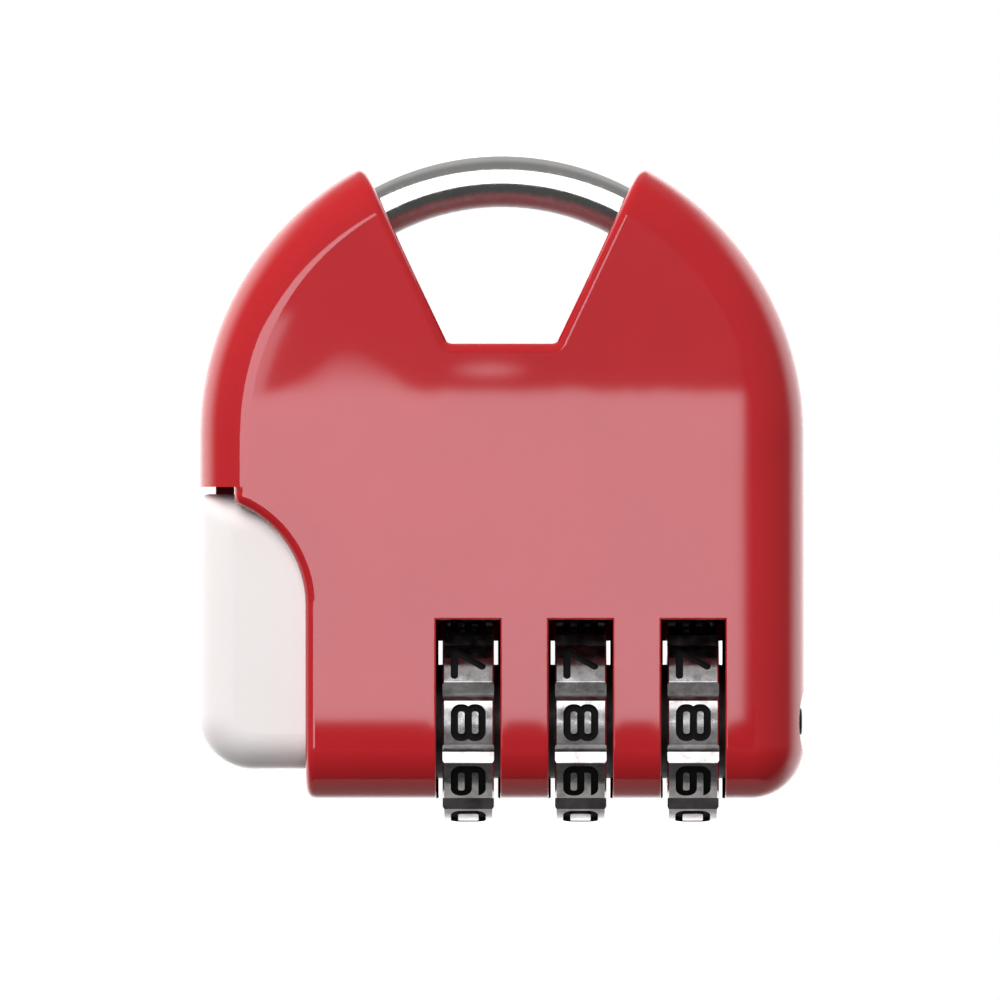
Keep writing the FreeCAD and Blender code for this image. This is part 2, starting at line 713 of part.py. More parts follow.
def loop(half_w, half_h, centre_v):
    """A closed stroke with rounded corners."""
    def pad(grow):
        w = half_w + grow
        h = half_h + grow
        solid = Part.makeBox(2 * w, 2 * h, CUTTER_DEPTH, Vector(-w, centre_v - h, -ENGRAVE))
        upright = [edge for edge in solid.Edges if abs(edge.Length - CUTTER_DEPTH) < 1e-6]
        return solid.makeFillet(LOOP_R + grow, upright)
    return pad(STROKE / 2).cut(pad(-STROKE / 2))


def area(u0, u1, v0, v1):
    return Part.makeBox(u1 - u0, v1 - v0, 2 * CUTTER_DEPTH, Vector(u0, v0, -CUTTER_DEPTH))


def digit_strokes():
    """The ten digits as lists of solids, one stroke deep."""
    w = DIGIT_HALF_W
    h = DIGIT_HALF_H
    half = STROKE / 2
    upper = loop(w, h / 2, h / 2)
    lower = loop(w, h / 2, -h / 2)
    whole = loop(w, h, 0)
    open_left = area(-2 * w, -0.3 * w, half - h, -half)
    top_left = area(-2 * w, -0.3 * w, half, h - half)
    hook = whole.cut(area(0.3 * w, 2 * w, -2 * h, h - half)).cut(area(-2 * w, 2 * w, -2 * h, -h / 2))
    six = [lower, hook]
    nine = [piece.copy() for piece in six]
    for piece in nine:
        piece.rotate(Vector(0, 0, 0), Vector(0, 0, 1), 180)
    return {
        0: [whole],
        1: [bar((0, h), (0, -h)), bar((0, h), (-0.5 * w, 0.5 * h)), bar((-0.6 * w, -h), (0.6 * w, -h))],
        2: [upper.cut(area(-2 * w, 0.3 * w, -h, h - half)), bar((0.7 * w, 0), (-w, -h)),
            bar((-w, -h), (w, -h))],
        3: [upper.cut(top_left), lower.cut(open_left)],
        4: [bar((0.45 * w, h), (0.45 * w, -h)), bar((0.45 * w, h), (-w, -0.35 * h)),
            bar((-w, -0.35 * h), (w, -0.35 * h))],
        5: [bar((-w, h), (w, h)), bar((-w, h), (-w, 0)), lower.cut(open_left)],
        6: six,
        7: [bar((-w, h), (w, h)), bar((w, h), (-0.3 * w, -h))],
        8: [upper, lower],
        9: nine,
    }


def dial():
    """A dial about the X axis at the origin, with its digits, bore and clutch notches."""
    solid = dial_blank()
    cuts = []
    for digit, strokes in digit_strokes().items():
        around = (SHOWN_DIGIT - digit) * STEP
        if digit == 0:
            around = (SHOWN_DIGIT - DIGITS) * STEP
        for stroke in strokes:
            piece = stroke.copy()
            piece.Placement = FreeCAD.Placement(
                Vector(0, -DIAL_R, 0),
                FreeCAD.Rotation(Vector(0, 0, 1), Vector(-1, 0, 0), Vector(0, -1, 0), "ZXY"),
            ).multiply(piece.Placement)
            piece.rotate(Vector(0, 0, 0), X_AXIS, -around)
            cuts.append(piece)
    solid = solid.cut(cuts)
    half = DIAL_WIDTH / 2
    solid = solid.cut(rod_x(DIAL_BORE_R, -half, half, 0, 0))
    solid = solid.cut(rod_x(COUNTERBORE_R, -half, COUNTERBORE_END, 0, 0))
    ring = rod_x(NOTCH_R, COUNTERBORE_END, half, 0, 0)
    for index in range(DIGITS // 2):
        slot = block(COUNTERBORE_END, half, -NOTCH_WIDTH / 2, NOTCH_WIDTH / 2, -NOTCH_R, NOTCH_R)
        slot.rotate(Vector(0, 0, 0), X_AXIS, index * STEP)
        solid = solid.cut(slot.common(ring))
    return solid


def reset_button():
    """The flange that pushes the sleeves, on the stem that shows at the right."""
    flange = rod_x(RESET_FLANGE_R, RESET_FLANGE_X[0], RESET_FLANGE_X[1])
    dish_end = RESET_FLANGE_X[0] + RESET_DISH_DEPTH
    flange = flange.cut(rod_x(RESET_DISH_R, RESET_FLANGE_X[0], dish_end))
    stem = rod_x(RESET_STEM_R, RESET_FLANGE_X[1] - RESET_ROOT, RESET_END)
    tip = [edge for edge in stem.Edges if abs(edge.CenterOfMass.x - RESET_END) < 1e-6]
    return flange.fuse(stem.makeFillet(RESET_TIP_R, tip)).removeSplitter()


def coil(radius, wire_r, turns, x0, x1, z):
    """A compression spring along X between two planes."""
    length = x1 - x0 - 2 * wire_r
    path = Part.makeHelix(length / turns, length, radius)
    path.rotate(Vector(0, 0, 0), Vector(0, 1, 0), 90)
    path.translate(Vector(x0 + wire_r, 0, z))
    start = path.Edges[0].valueAt(path.Edges[0].FirstParameter)
    heading = path.Edges[0].tangentAt(path.Edges[0].FirstParameter)
    section = Part.Wire(Part.makeCircle(wire_r, start, heading))
    return Part.Wire(path.Edges).makePipeShell([section], True, True)


def button_spring():
    return coil(
        BUTTON_SPRING_R, BUTTON_SPRING_WIRE_R, BUTTON_SPRING_TURNS,
        WEB_X[1] + GAP, SPRING_RIB_X[0] - GAP, BUTTON_SPRING_Z,
    )


def sleeve_spring():
    return coil(
        SLEEVE_SPRING_R, SLEEVE_SPRING_WIRE_R, SLEEVE_SPRING_TURNS,
        SPINDLE_RIB_X[1] + GAP, DIAL_X[0] - SLEEVE_HALF - SLEEVE_SPRING_GAP, DIAL_Z,
    )


def detent_spring():
    """A leaf whose three fingers rest in the grooves at the tops of the dials."""
    thick = LEAF_Z[1] - LEAF_Z[0]
    leaf = block(LEAF_X[0], LEAF_X[1], LEAF_Y[0], LEAF_Y[1], LEAF_Z[0], LEAF_Z[1])
    tip = DIAL_Z + DIAL_R - GROOVE_DEPTH + DETENT_LIFT
    outline = [(LEAF_Y[0], LEAF_Z[1]), (LEAF_Y[0] - FINGER_BEND[0], LEAF_Z[1])]
    outline += [(y, tip + height) for y, height in FINGER_OUTLINE]
    outline += [(LEAF_Y[0] - FINGER_BEND[1], LEAF_Z[0]), (LEAF_Y[0], LEAF_Z[0])]
    fingers = []
    for x in DIAL_X:
        corners = [Vector(x - FINGER_HALF, y, z) for y, z in outline]
        face = Part.Face(Part.makePolygon(corners + corners[:1]))
        fingers.append(face.extrude(Vector(2 * FINGER_HALF, 0, 0)))
    solid = leaf.fuse(fingers).removeSplitter()
    middle = sum(LEAF_Y) / 2
    holes = [
        Part.makeCylinder(LEAF_RIVET_R + GAP, 3 * thick, Vector(x, middle, LEAF_Z[0] - thick))
        for x in LEAF_BLOCK_X
    ]
    return solid.cut(holes)


def detent_rivets():
    middle = sum(LEAF_Y) / 2
    rivets = []
    for x in LEAF_BLOCK_X:
        foot = Vector(x, middle, LEAF_Z[1] - LEAF_RIVET_LENGTH)
        shank = Part.makeCylinder(LEAF_RIVET_R, LEAF_RIVET_LENGTH + LEAF_RIVET_HEAD / 2, foot)
        seat = Vector(x, middle, LEAF_Z[1] + GAP)
        head = Part.makeCylinder(LEAF_RIVET_HEAD_R, LEAF_RIVET_HEAD, seat)
        rivets.append(shank.fuse(head).removeSplitter())
    return Part.Compound(rivets)


def save(name, shape):
    moved = shape.copy()
    moved.translate(Vector(0, 0, CROWN_Z))
    problems = [solid for solid in moved.Solids if not solid.isValid()]
    print(name, "solids", len(moved.Solids), "volume", round(moved.Volume, 2), "invalid", len(problems))
    moved.exportStep(os.path.join("parts", name + ".step"))


def main():
    os.makedirs("parts", exist_ok=True)
    for name, shape in covers().items():
        save(name, shape)
    save("cover_pins", cover_pins())
    save("carrier_pivot_pin", carrier_pivot_pin())
    save("shackle", shackle())
    save("shackle_carrier", shackle_carrier())
    save("shackle_cross_pin", shackle_cross_pin())
    save("drive_pin", drive_pin())
    save("release_button", release_button())
    save("spindle", spindle())
    save("spindle_clip", spindle_clip())
    blank = dial()
    for name, x in zip(DIAL_NAMES, DIAL_X):
        placed = blank.copy()
        placed.translate(Vector(x, 0, DIAL_Z))
        save("dial_" + name, placed)
        save("sleeve_" + name, sleeve(x))
    save("reset_button", reset_button())
    save("button_spring", button_spring())
    save("sleeve_spring", sleeve_spring())
    save("detent_spring", detent_spring())
    save("detent_rivets", detent_rivets())


main()
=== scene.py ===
"""The looks of a luggage combination padlock, in metres, around the frame of its CAD model."""
import math

import bpy
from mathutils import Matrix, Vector

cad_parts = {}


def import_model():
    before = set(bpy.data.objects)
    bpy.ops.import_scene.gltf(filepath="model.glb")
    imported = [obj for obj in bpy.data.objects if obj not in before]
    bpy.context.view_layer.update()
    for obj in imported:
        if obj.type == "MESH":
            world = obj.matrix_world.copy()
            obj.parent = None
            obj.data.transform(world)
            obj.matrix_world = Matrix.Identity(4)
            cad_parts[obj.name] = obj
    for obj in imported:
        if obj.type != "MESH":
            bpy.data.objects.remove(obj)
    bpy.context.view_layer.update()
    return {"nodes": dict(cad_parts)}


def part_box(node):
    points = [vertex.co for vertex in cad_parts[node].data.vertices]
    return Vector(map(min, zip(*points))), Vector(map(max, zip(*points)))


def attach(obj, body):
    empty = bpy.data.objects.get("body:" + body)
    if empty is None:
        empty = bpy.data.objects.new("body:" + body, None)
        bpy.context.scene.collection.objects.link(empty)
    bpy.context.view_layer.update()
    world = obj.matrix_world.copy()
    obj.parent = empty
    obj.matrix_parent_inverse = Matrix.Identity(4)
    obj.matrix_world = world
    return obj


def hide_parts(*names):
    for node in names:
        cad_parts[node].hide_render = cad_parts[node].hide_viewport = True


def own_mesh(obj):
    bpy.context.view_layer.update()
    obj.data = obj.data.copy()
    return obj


MM = 0.001

# The camera looks along +Y at the middle of the lock, from far enough to see it almost flat.
VIEW_X = -0.125 * MM
VIEW_Z = -18.31 * MM
VIEW_WIDTH = 62.5 * MM
CAMERA_DISTANCE = 1.2
CAMERA_CLIP = 0.01
SENSOR = 36.0

# Paints and metals. A pair of colours is the darker and the lighter end of a soft mottle.
MOTTLE = (0.3, 0.7)
LACQUER = ((0.49, 0.0132, 0.0178), (0.54, 0.0152, 0.0208))
# Inside faces of the covers: thin paint, darkened as painted shade in the slots and gaps.
THIN_PAINT_AND_SHADE = (0.10, 0.006, 0.007)
THIN_PAINT_DULLER = 0.4
INSIDE_NORMAL = 0.3
MOULDED_WHITE = ((0.93, 0.875, 0.86), (0.96, 0.905, 0.89))
WIRE = ((0.71, 0.70, 0.68), (0.78, 0.77, 0.75))
# The wire's darker, greyer underside colour is painted shade.
SHADED_UNDERSIDE_WIRE = (0.44, 0.50, 0.50)
UNDERSIDE_DULLER = 0.48
PLATING = ((0.30, 0.28, 0.28), (0.48, 0.455, 0.455), (0.60, 0.58, 0.58))
DIGIT_PAINT = (0.004, 0.004, 0.004)
DIGIT_PAINT_DULLER = 0.6
GROUND_STEEL = ((0.42, 0.42, 0.41), (0.52, 0.52, 0.51))
SPRING_STEEL = ((0.30, 0.29, 0.27), (0.42, 0.41, 0.39))
BRASS = ((0.55, 0.38, 0.15), (0.68, 0.50, 0.22))
ZINC = ((0.16, 0.16, 0.165), (0.26, 0.26, 0.265))
DARK_STEEL = ((0.035, 0.032, 0.03), (0.07, 0.065, 0.06))
FLOOR_PALE = ((0.80, 0.80, 0.79), (0.84, 0.84, 0.83))

# The shackle's underside, darker and greyer as painted shade, as distances from the middle of its swing
SHADED_UNDERSIDE_R = (14.85 * MM, 15.35 * MM)

# Dials. The digits' dark floors lie between two distances from the dial's middle, inside a tile.
DIALS = ("dial_left", "dial_middle", "dial_right")
DIAL_STEP = math.radians(36)
PAINT_RISE = (5.9 * MM, 6.06 * MM)
PAINT_HALF_ANGLE = math.radians(11.3)
PAINT_HALF_X = 1.2 * MM

# The card that the flat front mirrors, as seen by the front camera. Its glow is laid out by the
# places on the front where it shows: a patch with a wavy top, a glow and a bar above it, part of
# a ring round the crown, and a dim haze over all of them.
CARD_DISTANCE = 1.5
CARD_SPREAD = 1 + CARD_DISTANCE / CAMERA_DISTANCE
CARD_MARGIN = 0.02
CARD_RADIANCE = 4.65
CARD_TINT = (0.96, 1.0, 1.07)
SHARP_EDGE = 0.25 * MM
PATCH_RIGHT = 15.0 * MM
PATCH_RIGHT_EDGE = 0.15 * MM
PATCH_BOTTOM = -32.2 * MM
PATCH_TOP = -11.9 * MM
PATCH_SOFT_TOP = 0.8 * MM
WAVE_HEIGHT = 1.0 * MM
WAVES_PER_METRE = 160
GLOW_X = -9.5 * MM
GLOW_WIDTH = 4.5 * MM
GLOW_HEIGHT = 1.5 * MM
BAR_X = -0.8 * MM
BAR_Z = -10.2 * MM
BAR_HALF_X = 3.4 * MM
BAR_HALF_Z = 0.75 * MM
BAR_SHARE = 0.85
RING_R = 14.95 * MM
RING_RIGHT = -6.0 * MM
RING_BOTTOM = -14.0 * MM
RING_TOP = -7.5 * MM
RING_SOFT = 1.0 * MM
RING_SOFT_TOP = 1.5 * MM
RING_SHARE = 0.75
HAZE_TOP = 6.0 * MM
HAZE_SOFT_TOP = 2.0 * MM
CARD_HAZE = 0.40

# The patch's bottom edge dips beside each slot, from a little way left of the left dial.
DIP = 0.45 * MM
DIP_REACH = 0.6 * MM
SLOT_HALF = 2.0 * MM
DIPS_START = 3.2 * MM
DIPS_START_EDGE = 0.2 * MM

# The card's bright left wing, as angles from the view's axis, with soft edges
WING_AZIMUTH = (math.radians(-23), math.radians(-3.5))
WING_HEIGHT = (math.radians(-3), math.radians(11))
WING_EDGE = 0.05
WING_LOW_EDGE = 0.03

# The backdrop and the room. The pairs are where each fade starts and ends, as the +Y or +Z part
# of the direction that is looked in.
BACKDROP = 2.6
BACKDROP_ON_MATT = 0.45
BACKDROP_EDGE = (-0.2, 0.35)
OVERHEAD_FADE = (0.52, 0.80)
OVERHEAD_LEFT = 0.1
LOW_FADE = (-0.8, -0.3)
LOW_LEFT = (0.22, 0.93)
ROOM_FADE = (-0.35, 0.15)
ROOM_LOW = 0.08
ROOM_HIGH = 0.28

FLOOR_PLACE = (0.0, 0.15, -0.6)
FLOOR_R = 0.31
FLOOR_SIDES = 96


class Nodes:
    """A short way to write the node tree of a material or a world."""

    def __init__(self, owner):
        owner.use_nodes = True
        self.owner = owner
        self.tree = owner.node_tree
        self.shader = self.tree.nodes.get("Principled BSDF")

    def add(self, kind, **inputs):
        node = self.tree.nodes.new(kind)
        for key, value in inputs.items():
            self.set(node, key, value)
        return node

    def set(self, node, key, value):
        """The key is a socket's name with _ for spaces, or i and the socket's number."""
        if key[0] == "i" and key[1:].isdigit():
            socket = node.inputs[int(key[1:])]
        else:
            socket = node.inputs[key.replace("_", " ")]
        if isinstance(value, bpy.types.NodeSocket):
            self.tree.links.new(value, socket)
        else:
            socket.default_value = value

    def place(self, output="Object"):
        return self.add("ShaderNodeTexCoord").outputs[output]

    def split(self, vector):
        return self.add("ShaderNodeSeparateXYZ", Vector=vector).outputs

    def coords(self, scale=(1, 1, 1)):
        return self.add("ShaderNodeMapping", Vector=self.place(), Scale=scale).outputs[0]

    def math(self, operation, a, b=0.0, c=0.0, clamp=False):
        node = self.add("ShaderNodeMath", i0=a, i1=b, i2=c)
        node.operation = operation
        node.use_clamp = clamp
        return node.outputs[0]

    def fold(self, operation, values):
        result = values[0]
        for value in values[1:]:
            result = self.math(operation, result, value)
        return result

    def times(self, *factors):
        return self.fold("MULTIPLY", factors)

    def largest(self, *values):
        return self.fold("MAXIMUM", values)

    def length(self, a, b):
        return self.math("SQRT", self.math("ADD", self.times(a, a), self.times(b, b)))

    def smooth(self, value, start, end, low=0.0, high=1.0):
        """From low to high, smoothly, as the value goes from start to end."""
        node = self.add("ShaderNodeMapRange", i0=value, i1=start, i2=end, i3=low, i4=high)
        node.interpolation_type = "SMOOTHSTEP"
        return node.outputs[0]

    def rise(self, value, start, width):
        """0 before the start, 1 after the width, smooth between."""
        return self.smooth(value, start, self.math("ADD", start, width))

    def fall(self, value, start, width):
        """1 before the start, 0 after the width, smooth between."""
        return self.math("SUBTRACT", 1.0, self.rise(value, start, width))

    def near_to(self, value, centre, reach):
        """1 at the centre, 0 beyond the reach."""
        off = self.math("ABSOLUTE", self.math("SUBTRACT", value, centre))
        return self.fall(self.math("DIVIDE", off, reach), 0.0, 1.0)

    def noise(self, vector, scale, detail=2.0, roughness=0.5):
        node = self.add("ShaderNodeTexNoise", Vector=vector, Scale=scale, Detail=detail, Roughness=roughness)
        return node.outputs["Fac"]

    def ramp(self, value, places, colours):
        """A colour ramp. The colours are greys or (red, green, blue)."""
        node = self.add("ShaderNodeValToRGB", Fac=value)
        elements = node.color_ramp.elements
        while len(elements) < len(places):
            elements.new(0.5)
        for element, place, colour in zip(elements, places, colours):
            element.position = place
            if isinstance(colour, (int, float)):
                colour = (colour, colour, colour)
            element.color = (*colour, 1.0)
        return node.outputs["Color"]

    def mix(self, factor, a, b):
        node = self.tree.nodes.new("ShaderNodeMix")
        node.data_type = "RGBA"
        self.set(node, "i0", factor)
        for place, value in ((6, a), (7, b)):
            if isinstance(value, tuple):
                value = (*value, 1.0)
            self.set(node, "i%d" % place, value)
        return node.outputs[2]

    def bump(self, height, distance, strength):
        return self.add("ShaderNodeBump", Height=height, Distance=distance, Strength=strength).outputs[0]

    def finish(self, **inputs):
        for key, value in inputs.items():
            self.set(self.shader, key, value)
        return self.owner


def material_nodes(name):
    return Nodes(bpy.data.materials.new(name))


def centre_of(name):
    low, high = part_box(name)
    return [(a + b) / 2 for a, b in zip(low, high)]


def red_paint(name, inward):
    """Lacquered outside. Faces that look inward along Y, as +1 or -1, are inside: thin, dull paint, darker as
    painted shade in the slots and gaps.
    """
    n = material_nodes(name)
    at = n.coords()
    facing = n.split(n.place("Normal"))[1]
    inside = n.math("GREATER_THAN", n.times(facing, inward), INSIDE_NORMAL)
    lacquer = n.ramp(n.noise(at, 90.0, 3.0), MOTTLE, LACQUER)
    rough = n.ramp(n.noise(at, 2200.0, 2.0), (0.3, 0.75), (0.36, 0.46))
    return n.finish(
        # Inside faces take the darker colour: thin paint and painted shade.
        Base_Color=n.mix(inside, lacquer, THIN_PAINT_AND_SHADE),
        Roughness=n.math("MULTIPLY_ADD", inside, THIN_PAINT_DULLER, rough, clamp=True),
        Coat_Weight=n.math("SUBTRACT", 1.0, inside),
        Coat_Roughness=0.015,
        Coat_IOR=1.5,
        Coat_Normal=n.bump(n.noise(at, 150.0, 1.0), 0.000002, 0.1),
        Specular_IOR_Level=0.08,
    )


def white_plastic():
    n = material_nodes("white_moulded_plastic")
    at = n.coords()
    return n.finish(
        Base_Color=n.ramp(n.noise(at, 120.0, 3.0), MOTTLE, MOULDED_WHITE),
        Roughness=n.ramp(n.noise(at, 700.0, 3.0), MOTTLE, (0.34, 0.42)),
        Normal=n.bump(n.noise(at, 5200.0, 2.0), 0.000006, 0.3),
        Specular_IOR_Level=0.45,
    )


def polished_wire():
    """Bright wire. Along the underside of its bow it is duller, and darker and greyer as painted shade."""
    n = material_nodes("polished_steel_wire")
    at = n.coords()
    x, _, z = n.split(at)
    radius = n.length(x, n.math("SUBTRACT", z, centre_of("carrier_pivot_pin")[2]))
    # Painted shade: the underside of the bow is darker and greyer. It is also duller.
    shaded_underside = n.add("ShaderNodeMapRange", i0=radius, i1=SHADED_UNDERSIDE_R[1], i2=SHADED_UNDERSIDE_R[0]).outputs[0]
    scratches = n.noise(n.coords((900, 90, 900)), 3.0, 4.0)
    smooth = n.ramp(scratches, (0.35, 0.7), (0.07, 0.15))
    bright = n.ramp(n.noise(at, 500.0, 3.0), MOTTLE, WIRE)
    return n.finish(
        Base_Color=n.mix(shaded_underside, bright, SHADED_UNDERSIDE_WIRE),
        Metallic=1.0,
        Roughness=n.math("MULTIPLY_ADD", shaded_underside, UNDERSIDE_DULLER, smooth, clamp=True),
        Normal=n.bump(scratches, 0.000004, 0.25),
    )


def dial_metal(name, centre):
    """Plated metal. Dark paint fills the digits, which are the low spots inside each tile."""
    n = material_nodes(name + "_plated")
    x, y, z = n.split(n.place())
    rise = n.math("SUBTRACT", z, centre[2])
    angle = n.math("ARCTAN2", rise, n.math("MULTIPLY", y, -1.0))
    away = n.math("PINGPONG", n.math("ABSOLUTE", angle), DIAL_STEP / 2)
    high = n.times(n.length(y, rise), n.math("COSINE", away))
    sideways = n.math("ABSOLUTE", n.math("SUBTRACT", x, centre[0]))
    painted = n.times(
        n.math("LESS_THAN", high, PAINT_RISE[1]),
        n.math("GREATER_THAN", high, PAINT_RISE[0]),
        n.math("LESS_THAN", away, PAINT_HALF_ANGLE),
        n.math("LESS_THAN", sideways, PAINT_HALF_X),
    )
    at = n.coords()
    metal = n.ramp(n.noise(at, 900.0, 5.0, 0.65), (0.32, 0.5, 0.68), PLATING)
    rough = n.ramp(n.noise(at, 1500.0, 4.0), MOTTLE, (0.12, 0.26))
    return n.finish(
        Base_Color=n.mix(painted, metal, DIGIT_PAINT),
        Metallic=n.math("SUBTRACT", 1.0, painted),
        Roughness=n.math("MULTIPLY_ADD", painted, DIGIT_PAINT_DULLER, rough, clamp=True),
        Normal=n.bump(n.noise(at, 2600.0, 4.0), 0.00002, 0.3),
        Specular_IOR_Level=0.12,
    )


def plain_metal(name, colours, roughness, grain):
    """A metal with marks along the axis where its grain's scale is low."""
    n = material_nodes(name)
    marks = n.noise(n.coords(grain), 4.0, 4.0)
    return n.finish(
        Base_Color=n.ramp(n.noise(n.coords(), 600.0, 4.0), MOTTLE, colours),
        Metallic=1.0,
        Roughness=n.ramp(marks, MOTTLE, roughness),
        Normal=n.bump(marks, 0.00001, 0.3),
    )


def dress(nodes):
    """Gives every CAD node its material."""
    steel = plain_metal("ground_steel", GROUND_STEEL, roughness=(0.22, 0.38), grain=(900, 60, 900))
    spring = plain_metal("drawn_spring_steel", SPRING_STEEL, roughness=(0.25, 0.4), grain=(300, 300, 300))
    brass = plain_metal("turned_brass", BRASS, roughness=(0.2, 0.36), grain=(900, 60, 60))
    zinc = plain_metal("cast_zinc", ZINC, roughness=(0.5, 0.65), grain=(400, 400, 400))
    dark = plain_metal("dark_turned_steel", DARK_STEEL, roughness=(0.3, 0.45), grain=(60, 900, 900))
    chosen = {
        "front_cover": red_paint("red_lacquer_front", 1.0),
        "back_cover": red_paint("red_lacquer_back", -1.0),
        "cover_pins": steel,
        "carrier_pivot_pin": steel,
        "shackle": polished_wire(),
        "shackle_carrier": zinc,
        "shackle_cross_pin": steel,
        "drive_pin": steel,
        "release_button": white_plastic(),
        "spindle": brass,
        "spindle_clip": spring,
        "sleeve_left": zinc,
        "sleeve_middle": zinc,
        "sleeve_right": zinc,
        "reset_button": dark,
        "button_spring": spring,
        "sleeve_spring": spring,
        "detent_spring": spring,
        "detent_rivets": steel,
    }
    for name in DIALS:
        chosen[name] = dial_metal(name, centre_of(name))
    for name, obj in nodes.items():
        for slot in obj.material_slots:
            slot.material = chosen[name]
        if not obj.material_slots:
            obj.data.materials.append(chosen[name])


def coil(frame, node):
    """A copy of a spring's coil, tied to the casing, that stands in for the hidden CAD node."""
    source = frame["nodes"][node]
    obj = source.copy()
    obj.data = source.data.copy()
    obj.name = node + "_coil"
    obj.parent = None
    obj.matrix_world = source.matrix_world.copy()
    bpy.context.scene.collection.objects.link(obj)
    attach(obj, "casing")
    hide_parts(node)
    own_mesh(obj)


def aimed(place, target):
    return (Vector(target) - Vector(place)).to_track_quat("-Z", "Y").to_euler()


def direction(azimuth, height):
    """A direction in front of the lock, from degrees to the right and upwards."""
    a = math.radians(azimuth)
    h = math.radians(height)
    return Vector((math.sin(a) * math.cos(h), -math.cos(a) * math.cos(h), math.sin(h)))


def area_light(name, azimuth, height, distance, size, radiance, only=None, glossy=True):
    """A softbox that faces the lock. It lights only some pieces when they are given."""
    middle = Vector((0, 0, VIEW_Z))
    data = bpy.data.lights.new(name, "AREA")
    data.shape = "RECTANGLE"
    data.size, data.size_y = size
    data.energy = radiance * math.pi * size[0] * size[1]
    obj = bpy.data.objects.new(name, data)
    obj.location = middle + direction(azimuth, height) * distance
    obj.rotation_euler = aimed(obj.location, middle)
    obj.visible_camera = False
    obj.visible_glossy = glossy
    bpy.context.scene.collection.objects.link(obj)
    if only:
        lit = bpy.data.collections.new(name + "_pieces")
        for piece in only:
            lit.objects.link(piece)
        obj.light_linking.receiver_collection = lit


def world():
    """A backdrop behind the lock that dims overhead and below, and a dim room in front of it.

    The backdrop is brighter in reflections than on matt surfaces, and the camera sees plain white.
    """
    studio_world = bpy.data.worlds.new("studio")
    bpy.context.scene.world = studio_world
    n = Nodes(studio_world)
    n.tree.nodes.clear()
    _, back, up = n.split(n.place("Generated"))
    ray = n.add("ShaderNodeLightPath").outputs
    backdrop = n.times(
        n.smooth(back, *BACKDROP_EDGE, 0.0, BACKDROP),
        n.smooth(up, *OVERHEAD_FADE, 1.0, OVERHEAD_LEFT),
        n.smooth(up, *LOW_FADE, *LOW_LEFT),
        n.smooth(ray["Is Glossy Ray"], 0.0, 1.0, BACKDROP_ON_MATT, 1.0),
    )
    surround = n.math("ADD", backdrop, n.smooth(up, *ROOM_FADE, ROOM_LOW, ROOM_HIGH))
    strength = n.add("ShaderNodeMix", i0=ray["Is Camera Ray"], i2=surround, i3=1.0).outputs[0]
    background = n.add("ShaderNodeBackground", Strength=strength, Color=(1.0, 1.0, 1.0, 1.0))
    n.add("ShaderNodeOutputWorld", Surface=background.outputs[0])


def patch_glow(n, x, z):
    """The patch, with its wavy top, and its bottom edge that dips beside each slot."""
    first, second = [centre_of(name)[0] for name in DIALS[:2]]
    noise = n.noise(n.coords((WAVES_PER_METRE, 0, 0)), 1.0, 2.0)
    wave = n.times(n.math("SUBTRACT", noise, 0.5), WAVE_HEIGHT)
    glow = n.times(n.near_to(x, GLOW_X, GLOW_WIDTH), 2 * GLOW_HEIGHT)
    below_top = n.fall(z, n.math("ADD", wave, PATCH_TOP), n.math("ADD", glow, PATCH_SOFT_TOP))
    beside = n.math("PINGPONG", n.math("SUBTRACT", x, first), (second - first) / 2)
    dips_start = n.rise(x, first - DIPS_START, DIPS_START_EDGE)
    dip = n.times(n.near_to(beside, SLOT_HALF, DIP_REACH), dips_start, DIP)
    above_bottom = n.rise(n.math("ADD", z, dip), PATCH_BOTTOM, SHARP_EDGE)
    return n.times(n.fall(x, PATCH_RIGHT, PATCH_RIGHT_EDGE), below_top, above_bottom, CARD_RADIANCE)


def bar_glow(n, x, z):
    across = n.near_to(x, BAR_X, BAR_HALF_X)
    return n.times(across, n.near_to(z, BAR_Z, BAR_HALF_Z), BAR_SHARE * CARD_RADIANCE)


def ring_glow(n, x, z):
    """The part of a ring round the crown that lies left of the notch."""
    from_crown = n.length(x, n.math("SUBTRACT", z, centre_of("carrier_pivot_pin")[2]))
    return n.times(
        n.rise(from_crown, RING_R, SHARP_EDGE),
        n.fall(x, RING_RIGHT, RING_SOFT),
        n.rise(z, RING_BOTTOM, RING_SOFT),
        n.fall(z, RING_TOP, RING_SOFT_TOP),
        RING_SHARE * CARD_RADIANCE,
    )


def haze_glow(n, x, z):
    return n.times(
        n.fall(x, PATCH_RIGHT, PATCH_RIGHT_EDGE),
        n.rise(z, PATCH_BOTTOM, SHARP_EDGE),
        n.fall(z, HAZE_TOP, HAZE_SOFT_TOP),
        CARD_HAZE,
    )


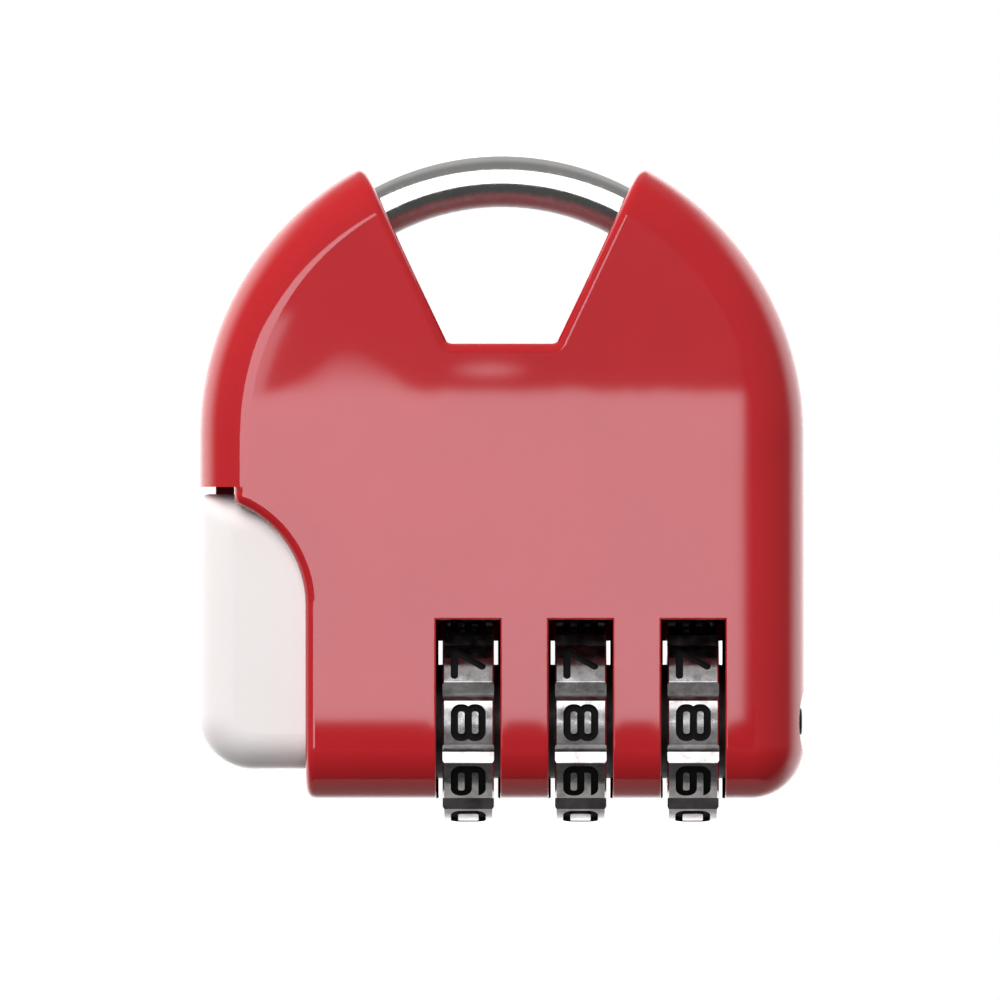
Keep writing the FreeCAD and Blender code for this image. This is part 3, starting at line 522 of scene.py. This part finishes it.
def card():
    """A glowing card in front of the lock, brightest where the front's patch and rim mirror it."""
    left, near = [math.tan(angle) * CARD_DISTANCE for angle in WING_AZIMUTH]
    low, high = [VIEW_Z + math.tan(angle) * CARD_DISTANCE for angle in WING_HEIGHT]
    right = VIEW_X + (PATCH_RIGHT - VIEW_X) * CARD_SPREAD + CARD_MARGIN
    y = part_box("front_cover")[0][1] - CARD_DISTANCE
    corners = [(left, y, low), (right, y, low), (right, y, high), (left, y, high)]
    mesh = bpy.data.meshes.new("softbox_card")
    mesh.from_pydata(corners, [], [(0, 1, 2, 3)])
    obj = bpy.data.objects.new("softbox_card", mesh)
    obj.visible_camera = False
    bpy.context.scene.collection.objects.link(obj)

    n = material_nodes("softbox_glow")
    n.tree.nodes.remove(n.shader)
    card_x, _, card_z = n.split(n.place())
    # The place on the flat front that mirrors each place on the card to the camera
    shrink = 1 / CARD_SPREAD
    x = n.math("MULTIPLY_ADD", card_x, shrink, VIEW_X * (1 - shrink))
    z = n.math("MULTIPLY_ADD", card_z, shrink, VIEW_Z * (1 - shrink))
    wing = n.times(
        n.fall(card_x, near - WING_EDGE, WING_EDGE),
        n.rise(card_x, left, WING_EDGE),
        n.rise(card_z, low, WING_LOW_EDGE),
        n.fall(card_z, high - WING_EDGE, WING_EDGE),
        CARD_RADIANCE,
    )
    strength = n.largest(patch_glow(n, x, z), ring_glow(n, x, z), bar_glow(n, x, z), haze_glow(n, x, z), wing)
    emission = n.add("ShaderNodeEmission", Strength=strength, Color=(*CARD_TINT, 1.0))
    n.tree.links.new(emission.outputs[0], n.tree.nodes["Material Output"].inputs["Surface"])
    mesh.materials.append(n.owner)


def studio(nodes):
    """The world, the card, a key light that nothing mirrors, and lights for the metals alone."""
    world()
    card()
    shackle = [nodes["shackle"]]
    dials = [nodes[name] for name in DIALS]
    area_light("key", -24, 36, distance=0.32, size=(0.20, 0.20), radiance=7.6, glossy=False)
    area_light("shackle_bank", 0, 21, distance=0.5, size=(0.95, 0.60), radiance=1.8, only=shackle)
    area_light("dial_bank", 0, 30, distance=0.5, size=(0.60, 0.28), radiance=2.2, only=dials)
    area_light("dial_fill", 0, 30, distance=0.3, size=(0.90, 0.90), radiance=0.26, only=dials)


def floor():
    bpy.ops.mesh.primitive_circle_add(
        vertices=FLOOR_SIDES, radius=FLOOR_R, fill_type="NGON", location=FLOOR_PLACE
    )
    disc = bpy.context.active_object
    disc.name = "pale_floor"
    n = material_nodes("pale_floor")
    shade = n.ramp(n.noise(n.coords(), 14.0, 3.0), MOTTLE, FLOOR_PALE)
    disc.data.materials.append(n.finish(Base_Color=shade, Roughness=0.85))


def camera():
    data = bpy.data.cameras.new("front_camera")
    data.lens = SENSOR * CAMERA_DISTANCE / VIEW_WIDTH
    data.sensor_width = SENSOR
    data.clip_start = CAMERA_CLIP
    obj = bpy.data.objects.new("front_camera", data)
    obj.location = (VIEW_X, -CAMERA_DISTANCE, VIEW_Z)
    obj.rotation_euler = (math.pi / 2, 0, 0)
    bpy.context.scene.collection.objects.link(obj)
    bpy.context.scene.camera = obj


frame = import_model()
camera()
dress(frame["nodes"])
coil(frame, "button_spring")
coil(frame, "sleeve_spring")
studio(frame["nodes"])
floor()
bpy.context.scene.view_settings.view_transform = "Standard"
